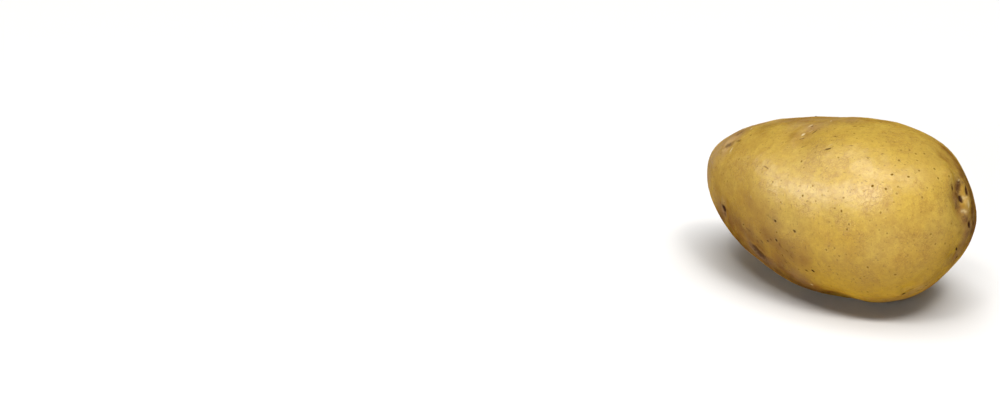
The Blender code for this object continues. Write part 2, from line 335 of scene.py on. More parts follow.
# Pores that the photograph shows: pixel and strength
PORES = [
    (727.4, 181.4, 0.5), (714, 188.8, 0.5), (723.6, 173.5, 0.4), (739.5, 159.4, 0.6), (754.5, 169.9, 0.3),
    (773, 182.1, 0.5), (781.3, 180.5, 0.5), (716.6, 203.1, 0.5), (734.1, 198.9, 0.5), (743.7, 224.4, 0.8),
    (736, 231.1, 0.8), (760, 232.7, 0.6), (775.6, 220.9, 0.9), (794.4, 231.5, 0.9), (780.7, 202.4, 0.6),
    (768.6, 215.2, 0.3), (776.5, 240.1, 0.9), (767.6, 240.7, 0.6), (777.2, 232.1, 0.6), (756.8, 237.2, 0.4),
    (783.5, 266.2, 0.6), (776.5, 267.5, 0.4), (789.3, 270.4, 0.5), (798.5, 269.5, 0.5), (782.3, 255.1, 0.6),
    (826.9, 130.7, 0.5), (834.5, 128.5, 0.5), (835.2, 136.1, 0.5),
    (856.2, 121.8, 0.6), (854.3, 133.3, 0.6), (847, 131.7, 0.4), (856.9, 138.7, 0.4), (851.7, 145.7, 0.4),
    (868, 158.2, 0.5), (872.5, 186, 1.0), (801.7, 161.3, 0.8), (815.4, 152.4, 0.5), (838.4, 157.2, 0.6),
    (812.8, 185.9, 0.6), (802.6, 195.8, 0.7), (843.5, 197.7, 0.6), (841.4, 211.2, 0.9), (834.7, 208.4, 0.6),
    (829.1, 222.1, 0.4), (837.5, 221.8, 0.4), (831.6, 226.3, 0.4), (849.1, 224.6, 0.7), (847, 229.5, 0.7),
    (826.7, 249.5, 0.7), (834.7, 248.1, 0.6), (839.3, 255.8, 0.5), (846.3, 254.4, 0.5), (829.5, 266.3, 0.5),
    (837.5, 274.7, 0.5), (867.7, 267.4, 0.8), (860.4, 278.2, 0.5), (853.7, 278.9, 0.4), (864.2, 276.5, 0.5),
    (867.7, 291.6, 0.7), (831.2, 286.3, 0.4), (885.8, 188.9, 0.9), (892, 174.6, 1.0), (899, 160.3, 0.8),
    (901.2, 150, 0.6), (909.6, 150, 0.6), (915.9, 153.7, 0.8), (924.3, 153.7, 0.7), (917.3, 160.3, 0.6),
    (919.2, 170.5, 0.7), (934.6, 168.7, 0.8), (938.2, 178.2, 0.8), (947.8, 176.8, 0.7), (908.5, 176.8, 0.8),
    (897.9, 186.7, 0.6), (896.8, 193.6, 0.6), (927.2, 187.8, 0.5), (922.1, 197.3, 0.6), (880.6, 212.7, 0.7),
    (887.2, 209.6, 0.4), (882.5, 153.3, 0.4), (895.3, 165.4, 0.4), (904.8, 164.7, 0.4), (881, 122.5, 0.6),
    (879.2, 230.1, 0.4), (887.2, 233.7, 0.4), (930.9, 234.1, 0.6), (935.3, 244, 0.6), (944.8, 243.3, 0.6),
    (951.1, 223.5, 0.5), (907.8, 255, 0.4), (895.3, 274.5, 0.7), (897.9, 296.8, 0.7), (750.7, 135, 0.6),
    (724.2, 202.6, 0.4), (803.9, 167.5, 0.5), (815.5, 201.3, 0.4), (814.2, 214.9, 0.3), (869.8, 220.8, 0.4),
    (886.4, 141.8, 0.4), (894.7, 141.8, 0.4), (893.7, 162.3, 0.4), (933.2, 189.4, 0.4), (916.2, 182.7, 0.3),
    (893.7, 202.1, 0.4), (832.6, 180.9, 0.25), (829.2, 266.3, 0.5), (779.7, 270.4, 0.4), (854, 279, 0.4),
]

# A pore's radius in millimetres, its half length, half width and halo in radii, and its range of sizes.
# The size of a pore of the photograph is PORE_BASE plus PORE_GROWTH times its strength.
PORE_RADIUS = 0.46
PORE_LONG = 1.12
PORE_SHORT = 0.9
PORE_HALO = 2.1
PORE_BASE = 0.70
PORE_GROWTH = 0.45
PORE_SIZES = (0.6, 1.1)
HIDDEN_PORES = 420
HIDDEN_PORE_STRENGTHS = (0.25, 1.0)
FAINT_PORES = 420
FAINT_PORE_STRENGTHS = (0.08, 0.32)

# Tints and scars of the hidden sides: how many, of which layers in turn, and their ranges, in millimetres
# where they are sizes. Rust tints are weaker by their share.
HIDDEN_PATCHES = 34
HIDDEN_PATCH_LAYERS = ("ochre", "mauve", "ochre", "rust")
HIDDEN_PATCH_RADII = (4, 10)
HIDDEN_PATCH_STRENGTHS = (0.25, 0.6)
HIDDEN_RUST_SHARE = 0.6
HIDDEN_SCARS = 26
HIDDEN_SCAR_LAYERS = ("rust", "rust", "dark", "pale")
HIDDEN_SCAR_LENGTHS = (0.5, 2.8)
HIDDEN_SCAR_WIDTHS = (0.3, 0.6)
HIDDEN_SCAR_STRENGTHS = (0.4, 0.9)
HIDDEN_SCAR_BENDS = (-0.8, 0.8)
HIDDEN_SCAR_PRESS = 0.05

# Albedo of the skin and of what lies on it
# The paler upper skin is partly its own tone and partly a painted sheen; the golden skin lies below it
PALE_SKIN_AND_SHEEN = (0.600, 0.408, 0.070, 1)
GOLD_SKIN = (0.600, 0.372, 0.028, 1)
# Ochre, mauve, rust and dark are partly real tints, dust, scurf and scars, and partly painted shade along
# the outline, on the left flank and in the dent above the crown eye. Pale is real flakes and a few painted
# glints.
OCHRE_SKIN_AND_SHADE = (0.28, 0.122, 0.018, 1)
MAUVE_DUST_AND_SHADE = (0.38, 0.240, 0.120, 1)
RUST_SCURF_AND_SHADE = (0.14, 0.060, 0.014, 1)
GOLD_FLESH = (0.40, 0.22, 0.008, 1)
DARK_SCAR_AND_SHADE = (0.045, 0.017, 0.008, 1)
PALE_FLAKE_AND_GLINT = (0.62, 0.50, 0.26, 1)
PORE_BROWN = (0.16, 0.082, 0.010, 1)

# Feature sizes of the skin's noises, and the heights between which the skin turns from golden to pale: the
# paler top is partly the skin's own tone and partly a painted sheen
GRAIN_SIZE = 0.5 * MM
FRECKLE_SIZE = 0.9 * MM
FRAY_SIZE = 0.9 * MM
SCURF_SIZE = 1.1 * MM
CRACK_CELL_SIZE = 1.5 * MM
CLOUD_SIZE = 1.7 * MM
MOTTLE_SIZE = 4.5 * MM
CRACKED_AREA_SIZE = 9 * MM
CRACKED_AREAS = (0.48, 0.62)
CRACK_EDGE = (0.02, 0.12)
BORDER_SIZE = 22 * MM
BORDER_SWING = 40 * MM
PALE_AND_SHEEN_HEIGHTS = (18 * MM, 46 * MM)

# The skin's shine, its depth of colour, and its bump
SKIN_IOR = 1.45
DEEP_SHARE = 0.08
DEEP_COLOUR = (1.0, 0.55, 0.18)
DEEP_REACH = 2.0 * MM
BUMP_STRENGTH = 0.7
BUMP_HEIGHT = 0.06 * MM

# The table lies just under the potato
FLOOR_COLOUR = (0.545, 0.53, 0.51, 1)
FLOOR_ROUGHNESS = 0.9
FLOOR_REACH = 4.0
FLOOR_DROP = 0.05 * MM

# It glows, a painted light on the open floor, except in an oval round the origin, which is a painted shadow
# under the
# potato: how much X and Y count in the distance from there, and the distances between which the glow comes
# in
PAINTED_FLOOR_GLOW = 0.455
PAINTED_SHADOW_OVAL = (0.6, 1.0, 0.0)
PAINTED_SHADOW_SPAN = (0.022, 0.048)

# Soft lights: azimuth and elevation in degrees, size in metres at one distance, and power in watts.
# The first ones light the skin and the floor, the others are seen only in the skin's gloss.
Light = namedtuple("Light", "name azimuth elevation size power")
LIGHTS = [
    Light("overhead", 35, 68, (1.9, 0.45), 52),
    Light("right_top", 70, 60, (0.9, 0.5), 34),
    Light("left_top", -8, 62, (1.0, 0.5), 21),
    Light("front_low", 13, 18, (0.9, 0.6), 31),
    Light("back_left", -120, 10, (1.6, 0.5), 9),
    Light("back", 170, 30, (1.6, 0.8), 6),
]
GLOSS_LIGHTS = [
    Light("window_high", 12, 41, (1.1, 0.8), 22),
    Light("window_top", 30, 76, (2.0, 0.6), 12),
    Light("window_middle", -14, 34, (1.7, 0.9), 26),
    Light("window_low", -38, 17, (1.0, 0.6), 17),
    Light("window_side", -66, 26, (1.2, 0.6), 10),
    Light("window_left", -56, 69, (1.6, 1.0), 24),
    Light("window_far", 100, 62, (1.8, 0.8), 9),
]
LIGHT_DISTANCE = 3.0
LIT_POINT = (0, 0, 0.03)
WORLD_GLOW = 0.02
WHITE = (1, 1, 1, 1)

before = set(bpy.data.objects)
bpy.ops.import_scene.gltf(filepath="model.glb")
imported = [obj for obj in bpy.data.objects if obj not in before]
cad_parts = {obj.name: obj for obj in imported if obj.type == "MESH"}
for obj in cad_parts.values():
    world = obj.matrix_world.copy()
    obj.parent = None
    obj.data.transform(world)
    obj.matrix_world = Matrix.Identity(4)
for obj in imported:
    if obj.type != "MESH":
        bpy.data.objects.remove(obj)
cad_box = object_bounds()
rng = np.random.default_rng(SEED)


def direction(azimuth, elevation):
    """The direction of an azimuth and elevation in degrees, with azimuth 0 in front."""
    azimuth, elevation = math.radians(azimuth), math.radians(elevation)
    level = math.cos(elevation)
    return Vector((math.sin(azimuth) * level, -math.cos(azimuth) * level, math.sin(elevation)))


def camera_axes():
    """Right, up and backwards directions of the camera, and its place."""
    azimuth = math.radians(VIEW_AZIMUTH)
    back = direction(VIEW_AZIMUTH, VIEW_ELEVATION)
    right = Vector((math.cos(azimuth), math.sin(azimuth), 0))
    up = back.cross(right)
    low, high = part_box("potato")
    depth = FOCAL_PIXELS / PIXELS_PER_METRE
    place = (low + high) / 2 - depth * pixel_ray(CENTRE_PIXEL, right, up, back)
    return right, up, back, place


def pixel_ray(pixel, right, up, back):
    """The direction in which the camera sees a pixel, one unit deep."""
    across = (pixel[0] - PHOTO_WIDTH / 2) / FOCAL_PIXELS
    down = (pixel[1] - PHOTO_HEIGHT / 2) / FOCAL_PIXELS
    return right * across - up * down - back


def make_camera():
    right, up, back, place = camera_axes()
    data = bpy.data.cameras.new("camera")
    data.lens = LENS
    data.sensor_width = SENSOR
    camera = bpy.data.objects.new("camera", data)
    camera.location = place
    camera.rotation_euler = (-back).to_track_quat("-Z", "Y").to_euler()
    bpy.context.scene.collection.objects.link(camera)
    bpy.context.scene.camera = camera


def lattice_sphere():
    """Unit directions and quads of a box of squares blown up to a sphere."""
    counts = np.array([SQUARES_LONG, SQUARES_ACROSS, SQUARES_ACROSS])
    faces = []
    for axis in range(3):
        first, second = (axis + 1) % 3, (axis + 2) % 3
        i, j = np.meshgrid(np.arange(counts[first]), np.arange(counts[second]), indexing="ij")
        for side in (0, counts[axis]):
            ring = ((0, 0), (1, 0), (1, 1), (0, 1)) if side else ((0, 0), (0, 1), (1, 1), (1, 0))
            face = np.zeros(i.shape + (4, 3), int)
            face[..., axis] = side
            for corner, (di, dj) in enumerate(ring):
                face[..., corner, first] = i + di
                face[..., corner, second] = j + dj
            faces.append(face.reshape(-1, 3))
    lattice, quads = np.unique(np.concatenate(faces), axis=0, return_inverse=True)
    warped = np.tan((2.0 * lattice / counts - 1.0) * math.pi / 4)
    return warped / np.linalg.norm(warped, axis=1, keepdims=True), quads.reshape(-1, 4)


def unit_rows(rows):
    return rows / np.linalg.norm(rows, axis=1, keepdims=True)


def gather(index, values, size):
    """Sums the rows of values into size rows, by index."""
    return np.stack([np.bincount(index, values[:, axis], size) for axis in range(3)], axis=1)


def solid_corners():
    """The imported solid's corners, triangles and smooth normals, with shared corners joined."""
    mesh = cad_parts["potato"].data
    co = np.array([v.co for v in mesh.vertices])
    rounded = np.round(co / JOINED).astype(int)
    _, first, joined = np.unique(rounded, axis=0, return_index=True, return_inverse=True)
    triangles = joined.reshape(-1)[np.array([p.vertices[:] for p in mesh.polygons])]
    corners = co[first]
    a, b, c = (corners[triangles[:, k]] for k in range(3))
    face_normals = np.cross(b - a, c - a)
    normals = sum(gather(triangles[:, k], face_normals, len(corners)) for k in range(3))
    return corners, triangles, unit_rows(normals)


def lay_on_solid(unit):
    """Skin points on the solid, found by rays towards its middle and rounded between its corners."""
    corners, triangles, normals = solid_corners()
    tree = BVHTree.FromPolygons(corners.tolist(), triangles.tolist())
    low, high = (np.array(corner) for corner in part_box("potato"))
    middle, half = (low + high) / 2, (high - low) / 2
    reach = unit * half
    hits = [tree.ray_cast(Vector(middle + 2 * step), Vector(-step)) for step in reach]
    points = np.array([hit[0] for hit in hits])
    faces = triangles[np.array([hit[2] for hit in hits])]
    a, b, c = (corners[faces[:, k]] for k in range(3))
    area = np.cross(b - a, c - a)
    size = (area * area).sum(1)
    weights = [(np.cross(q - p, points - p) * area).sum(1) / size for p, q in ((b, c), (c, a), (a, b))]
    rounded = np.zeros_like(points)
    for k in range(3):
        normal = normals[faces[:, k]]
        drop = ((points - corners[faces[:, k]]) * normal).sum(1, keepdims=True)
        rounded += weights[k][:, None] * (points - drop * normal)
    on_flat = points[:, 2] < ON_FLAT
    points += ROUNDING * (rounded - points)
    points[on_flat, 2] = 0
    return points, on_flat


def smooth(points, quads, on_flat):
    """Evens out the solid's facets without shrinking the skin, and keeps the flat spot flat."""
    edges = np.concatenate([quads[:, [k, (k + 1) % 4]] for k in range(4)])
    count = np.bincount(edges[:, 0], minlength=len(points))[:, None]
    for step in (SMOOTH_IN, SMOOTH_OUT) * SMOOTH_PASSES:
        mean = gather(edges[:, 0], points[edges[:, 1]], len(points)) / count
        points = points + step * (mean - points)
        points[on_flat, 2] = 0
    points[:, 2] = np.maximum(points[:, 2], 0)
    return points


def quad_normals(points, quads):
    across = points[quads[:, 2]] - points[quads[:, 0]]
    other = points[quads[:, 3]] - points[quads[:, 1]]
    face_normals = np.cross(across, other)
    return unit_rows(sum(gather(quads[:, k], face_normals, len(points)) for k in range(4)))


def ripple(points, wavelength):
    """A smooth random field over the points, mostly from -1 to 1, with features of that size."""
    heading = unit_rows(rng.normal(size=(SINES, 3)))
    turns = 2 * math.pi / (wavelength * rng.uniform(*SINE_SPREAD, SINES))
    phase = rng.uniform(0, 2 * math.pi, SINES)
    return np.sin(points @ (heading * turns[:, None]).T + phase).sum(axis=1) / math.sqrt(2 * SINES)


def bell(distance, reach):
    return math.exp(-((distance / reach) ** 2))


class Skin:
    """The skin's points, what each layer of colour is worth at each point, and the fine relief."""

    def __init__(self):
        unit, self.quads = lattice_sphere()
        points, self.on_flat = lay_on_solid(unit)
        self.points = smooth(points, self.quads, self.on_flat)
        self.normals = quad_normals(self.points, self.quads)
        self.relief = np.zeros(len(self.points))
        self.layers = {name: np.zeros(len(self.points)) for name in LAYERS}
        blank = (STAMP_FAR, STAMP_FAR, 0, 0)
        self.stamps = {kind: [np.tile(blank, (len(self.points), 1)) for _ in range(sets)]
                       for kind, sets in STAMP_SETS.items()}
        self.near = KDTree(len(self.points))
        for index, point in enumerate(self.points):
            self.near.insert(point, index)
        self.near.balance()
        self.surface = BVHTree.FromPolygons(self.points.tolist(), self.quads.tolist())
        self.right, self.up, self.back, self.eye = camera_axes()

    def seen_at(self, pixel):
        """The point of the skin that the camera sees at a pixel, or None beside the potato."""
        ray = pixel_ray(pixel, self.right, self.up, self.back)
        return self.surface.ray_cast(self.eye, ray)[0]

    def closest(self, place):
        """The nearest point of the skin and its normal."""
        _, index, _ = self.near.find(Vector(place))
        return Vector(self.points[index]), Vector(self.normals[index])

    def random_place(self):
        """A drawn point of the skin and its normal."""
        index = rng.integers(len(self.points))
        return Vector(self.points[index]), Vector(self.normals[index])

    def push(self, centre, radius, press):
        """Presses a round spot of the skin in, or out where press is negative."""
        for _, index, distance in self.near.find_range(centre, DAB_END * radius):
            self.relief[index] -= press * bell(distance, radius)

    def dab(self, layer, centre, radius, strength):
        """Colours a soft round spot of one layer."""
        values = self.layers[layer]
        for _, index, distance in self.near.find_range(centre, DAB_END * radius):
            values[index] = max(values[index], strength * bell(distance, radius))

    def stroke(self, layer, start, end, radius, strength):
        """A row of dabs from one point of the skin to another."""
        steps = max(1, round((end - start).length / (DAB_STEP * radius)))
        for step in range(steps + 1):
            point, _ = self.closest(start.lerp(end, step / steps))
            self.dab(layer, point, radius, strength)

    def stamp(self, kind, middle, heading, length, width, strength, bend=0.0, halo=1.0):
        """Lays an oval stamp of that half length and width on a set that is free there, if one is."""
        _, normal = self.closest(middle)
        along = (heading - heading.dot(normal) * normal).normalized()
        across = normal.cross(along)
        margin = STAMP_MARGIN * MM
        half_u, half_v = halo * length + margin, (halo + abs(bend)) * width + margin
        found = np.array([index for _, index, _ in self.near.find_range(middle, half_u + half_v + margin)])
        offset = self.points[found] - np.array(middle)
        u, v = offset @ np.array(along), offset @ np.array(across)
        guarded = found[(abs(u) < half_u + margin) & (abs(v) < half_v + margin)]
        inner = (abs(u) < half_u) & (abs(v) < half_v)
        for corners in self.stamps[kind]:
            if not corners[guarded, 3].any():
                corners[found[inner], 0] = u[inner] / length
                corners[found[inner], 1] = v[inner] / width
                corners[found[inner], 2] = bend
                corners[found[inner], 3] = strength
                return True
        return False

    def hidden(self, place, normal):
        """Whether this place of the skin faces away from the camera."""
        return normal.dot(self.eye - place) < 0


def press_marks(skin, marks):
    """Marks of the photograph: stamps where their layer has them, and soft strokes of colour otherwise."""
    for mark in marks:
        start, end = skin.seen_at(mark.start), skin.seen_at(mark.end)
        if start is None or end is None:
            continue
        radius = mark.radius * MM
        middle, run = (start + end) / 2, end - start
        stamped = mark.layer in STAMP_SETS and skin.stamp(
            mark.layer, middle, run, run.length / 2 + radius, radius, mark.strength, mark.bend)
        if not stamped:
            skin.stroke(mark.layer, start, end, radius, mark.strength)
        for share in PRESS_SHARES:
            skin.push(start.lerp(end, share), radius, mark.press * MM / 2)


def lay_patches(skin, patches):
    for patch in patches:
        for pixel in patch.middles:
            middle = skin.seen_at(pixel)
            if middle:
                skin.dab(patch.layer, middle, patch.radius * MM, patch.strength)


def open_pore(skin, place, radius, strength):
    heading = Vector(rng.normal(size=3))
    skin.stamp("pore", place, heading, PORE_LONG * radius, PORE_SHORT * radius, strength, halo=PORE_HALO)


def open_pores(skin):
    """The pores of the photograph, then drawn ones out of its sight, then faint ones in its sight."""
    for x, y, strength in PORES:
        middle = skin.seen_at((x, y))
        if middle:
            open_pore(skin, middle, PORE_RADIUS * MM * (PORE_BASE + PORE_GROWTH * strength), strength)
    draws = (
        (True, HIDDEN_PORES, HIDDEN_PORE_STRENGTHS),
        (False, FAINT_PORES, FAINT_PORE_STRENGTHS),
    )
    for out_of_sight, count, strengths in draws:
        made = 0
        while made < count:
            place, normal = skin.random_place()
            size = rng.uniform(*PORE_SIZES)
            strength = rng.uniform(*strengths)
            if skin.hidden(place, normal) is out_of_sight:
                open_pore(skin, place, PORE_RADIUS * MM * size, strength)
                made += 1


def dress_eye(skin, eye):
    """The brow's thin scar, the buds in the hollow and the stain round them."""
    middle, normal = skin.closest(Vector(eye.middle) * MM)
    short = Vector(eye.short_way)
    short = (short - short.dot(normal) * normal).normalized()
    long = normal.cross(short)
    half = eye.width / 2 * MM
    skin.dab("mauve", middle, radius=0.9 * half, strength=0.55 * eye.stain)
    skin.dab("rust", middle, radius=0.5 * half, strength=0.5 * eye.stain)
    brow, _ = skin.closest(middle - short * 0.3 * half)
    brow_width = BROW_WIDTH * MM
    skin.stamp("rust", brow, long, 0.85 * half, brow_width, eye.stain, bend=0.2 * half / brow_width)
    bud_radius = BUD_RADIUS * MM
    for share, rise in EYE_BUDS:
        bud, _ = skin.closest(middle + long * (share * half) + short * (0.04 * half))
        skin.push(bud, bud_radius, -rise * MM)
        skin.dab("ochre", bud, bud_radius, strength=0.7)
        scale = bud + long * 0.9 * MM
        skin.stamp("dark", scale, short, length=0.8 * MM, width=0.35 * MM, strength=0.7 * eye.stain)
        skin.stamp("pale", bud, long, length=0.6 * MM, width=0.4 * MM, strength=0.7)


def dress_stem_scar(skin):
    """The dry, dark ring and stub where the tuber broke off its root."""
    middle, _ = skin.closest(Vector(STEM_SCAR) * MM)
    for layer, radius, strength in STEM_RINGS:
        skin.dab(layer, middle, radius * MM, strength)
    skin.push(middle, radius=1.9 * MM, press=0.25 * MM)
    for turn in np.linspace(0, 2 * math.pi, STEM_CRACKS, endpoint=False):
        outward = Vector((0, math.cos(turn), math.sin(turn)))
        crack, _ = skin.closest(middle + outward * rng.uniform(*STEM_CRACK_PLACES) * MM)
        length = rng.uniform(*STEM_CRACK_LENGTHS) * MM
        skin.stamp("dark", crack, outward, length, width=0.3 * MM, strength=0.7)
        skin.push(crack, radius=0.5 * MM, press=0.12 * MM)


def tint_hidden_sides(skin):
    """Tints and dusting on the sides that the photograph doesn't show."""
    made = 0
    while made < HIDDEN_PATCHES:
        place, normal = skin.random_place()
        layer = HIDDEN_PATCH_LAYERS[made % len(HIDDEN_PATCH_LAYERS)]
        radius = rng.uniform(*HIDDEN_PATCH_RADII) * MM
        strength = rng.uniform(*HIDDEN_PATCH_STRENGTHS)
        if skin.hidden(place, normal):
            share = HIDDEN_RUST_SHARE if layer == "rust" else 1.0
            skin.dab(layer, place, radius, strength * share)
            made += 1


def scar_hidden_sides(skin):
    """Small scars on the sides that the photograph doesn't show."""
    made = 0
    while made < HIDDEN_SCARS:
        place, normal = skin.random_place()
        heading = Vector(rng.normal(size=3))
        kind = HIDDEN_SCAR_LAYERS[made % len(HIDDEN_SCAR_LAYERS)]
        length = rng.uniform(*HIDDEN_SCAR_LENGTHS) * MM
        width = rng.uniform(*HIDDEN_SCAR_WIDTHS) * MM
        strength = rng.uniform(*HIDDEN_SCAR_STRENGTHS)
        bend = rng.uniform(*HIDDEN_SCAR_BENDS)
        if skin.hidden(place, normal):
            skin.stamp(kind, place, heading, length, width, strength, bend)
            skin.push(place, 2 * width, HIDDEN_SCAR_PRESS * MM)
            made += 1


def undulate(skin):
    """Low dimples and waves of the skin, from finger-wide to a few millimetres."""
    for wavelength, height in WAVES:
        skin.relief += height * MM * ripple(skin.points, wavelength * MM)


def build_skin(skin):
    """The finished skin's mesh, kept inside the solid's box and on its flat spot."""
    lift = np.where(skin.on_flat, 0, skin.relief)
    points = skin.points + skin.normals * lift[:, None]
    low, high = (np.array(corner) for corner in cad_box)
    points = np.clip(points, low, high)
    mesh = bpy.data.meshes.new("potato_skin")
    mesh.from_pydata(points.tolist(), [], skin.quads.tolist())
    for name, values in skin.layers.items():
        layer = mesh.attributes.new(name, "FLOAT", "POINT")
        layer.data.foreach_set("value", values.astype(np.float32))
    for kind, sets in skin.stamps.items():
        for number, corners in enumerate(sets):
            layer = mesh.attributes.new(f"{kind}_{number}", "FLOAT_COLOR", "POINT")
            layer.data.foreach_set("color", corners.astype(np.float32).ravel())
    mesh.shade_smooth()
    obj = bpy.data.objects.new("potato_skin", mesh)
    bpy.context.scene.collection.objects.link(obj)
    return obj


class Nodes:
    """Short names for the shader nodes of one material."""

    def __init__(self, tree):
        self.tree = tree
        place = tree.nodes.new("ShaderNodeTexCoord")
        self.place = place.outputs["Object"]
        axes = tree.nodes.new("ShaderNodeSeparateXYZ")
        self.link(self.place, axes.inputs[0])
        self.height = axes.outputs[2]
        fray = tree.nodes.new("ShaderNodeTexNoise")
        self.fill(fray, {"Vector": self.place, "Scale": 1 / FRAY_SIZE})
        self.fray = self.vector("SUBTRACT", fray.outputs["Color"], (0.5, 0.5, 0.5))

    def link(self, source, socket):
        if isinstance(source, bpy.types.NodeSocket):
            self.tree.links.new(source, socket)
        else:
            socket.default_value = source

    def fill(self, node, inputs):
        """Gives the node its inputs by their names, each a value or another node's output."""
        for name, source in inputs.items():
            self.link(source, node.inputs[name])

    def noise(self, size, detail=3.0, rough=0.55, stretch=0.0):
        """Noise with features of that size in metres, from 0 to 1."""
        node = self.tree.nodes.new("ShaderNodeTexNoise")
        shape = {"Scale": 1 / size, "Detail": detail, "Roughness": rough, "Distortion": stretch}
        self.fill(node, {"Vector": self.place, **shape})
        return node.outputs["Fac"]

    def cracks(self, size):
        """A net of thin frayed cracks round cells of that size, 1 in a crack, only in some areas."""
        node = self.tree.nodes.new("ShaderNodeTexVoronoi")
        node.feature = "DISTANCE_TO_EDGE"
        bent = self.vector("MULTIPLY_ADD", self.fray, (size, size, size), self.place)
        self.fill(node, {"Vector": bent, "Scale": 1 / size})
        crack = self.span(node.outputs["Distance"], *CRACK_EDGE, 1.0, 0.0)
        area = self.span(self.noise(CRACKED_AREA_SIZE, detail=2.0), *CRACKED_AREAS)
        return self.math("MULTIPLY", crack, area)

    def layer(self, name):
        node = self.tree.nodes.new("ShaderNodeAttribute")
        node.attribute_name = name
        return node.outputs["Fac"]

    def vector(self, operation, first, second=(0, 0, 0), third=(0, 0, 0)):
        node = self.tree.nodes.new("ShaderNodeVectorMath")
        node.operation = operation
        for value, socket in zip((first, second, third), node.inputs):
            self.link(value, socket)
        return node.outputs["Value" if operation == "LENGTH" else "Vector"]

    def stamps(self, kind, ragged):
        """Each set's distance from the middles of its stamps, 1 on their outlines, and their strength."""
        found = []
        for number in range(STAMP_SETS[kind]):
            node = self.tree.nodes.new("ShaderNodeAttribute")
            node.attribute_name = f"{kind}_{number}"
            axes = self.tree.nodes.new("ShaderNodeSeparateXYZ")
            self.link(node.outputs["Vector"], axes.inputs[0])
            u, v, bend = axes.outputs
            bow = self.math("SUBTRACT", self.math("MINIMUM", self.math("MULTIPLY", u, u), 1.0), BOW_LEVEL)
            flat = self.tree.nodes.new("ShaderNodeCombineXYZ")
            self.link(u, flat.inputs[0])
            self.link(self.math("ADD", v, self.math("MULTIPLY", bow, bend)), flat.inputs[1])
            frayed = self.vector("MULTIPLY_ADD", self.fray, (ragged, ragged, 0), flat.outputs[0])
            found.append((self.vector("LENGTH", frayed), node.outputs["Alpha"]))
        return found

    def cover(self, stamps, outer, inner):
        """How strongly the stamps cover a place: fully inside the inner outline, not past the outer one."""
        total = 0.0
        for distance, strength in stamps:
            share = self.math("MULTIPLY", self.span(distance, outer, inner), strength)
            total = self.math("MAXIMUM", share, total)
        return total

    def math(self, operation, first, second=0.0):
        node = self.tree.nodes.new("ShaderNodeMath")
        node.operation = operation
        self.link(first, node.inputs[0])
        self.link(second, node.inputs[1])
        return node.outputs[0]

    def span(self, value, low, high, to_low=0.0, to_high=1.0):
        """Maps the value from low..high to to_low..to_high, softly at both ends."""
        node = self.tree.nodes.new("ShaderNodeMapRange")
        node.interpolation_type = "SMOOTHSTEP"
        ends = {"From Min": low, "From Max": high, "To Min": to_low, "To Max": to_high}
        self.fill(node, {"Value": value, **ends})
        return node.outputs["Result"]

    def mix(self, share, first, second, kind="RGBA"):
        """Goes from the first colour to the second by the share."""
        node = self.tree.nodes.new("ShaderNodeMix")
        node.data_type = kind
        self.fill(node, {"Factor": share, "A": first, "B": second})
        return node.outputs["Result"]

    def blend(self, share, first, second):
        """Goes from the first value to the second by the share."""
        return self.mix(share, first, second, "FLOAT")


MAP_NAMES = "grain scurf mottle cloud cracks pit halo ochre mauve rust gold dark pale"
SkinMaps = namedtuple("SkinMaps", MAP_NAMES)


def skin_maps(n):
    """The noises and layers that the skin's colour, gloss and bump are made of, each about 0 to 1."""
    pores = n.stamps("pore", ragged=0.5)
    pit = n.cover(pores, outer=1.25, inner=0.45)
    rust_stamps = n.cover(n.stamps("rust", ragged=0.9), outer=1.15, inner=0.35)
    dark_stamps = n.cover(n.stamps("dark", ragged=0.6), outer=1.15, inner=0.45)
    pale_stamps = n.cover(n.stamps("pale", ragged=0.6), outer=1.15, inner=0.45)
    return SkinMaps(
        grain=n.noise(GRAIN_SIZE, detail=2.0),
        scurf=n.noise(SCURF_SIZE, detail=5.0, rough=0.7, stretch=0.6),
        mottle=n.noise(MOTTLE_SIZE, detail=4.0, rough=0.6),
        cloud=n.noise(CLOUD_SIZE, detail=3.0, rough=0.6, stretch=0.4),
        cracks=n.cracks(CRACK_CELL_SIZE),
        pit=pit,
        halo=n.math("SUBTRACT", n.cover(pores, outer=PORE_HALO, inner=1.2), pit),
        ochre=n.layer("ochre"),
        mauve=n.layer("mauve"),
        rust=n.math("MAXIMUM", n.layer("rust"), rust_stamps),
        gold=n.layer("gold"),
        dark=n.math("MAXIMUM", n.layer("dark"), dark_stamps),
        pale=n.math("MAXIMUM", n.layer("pale"), pale_stamps),
    )


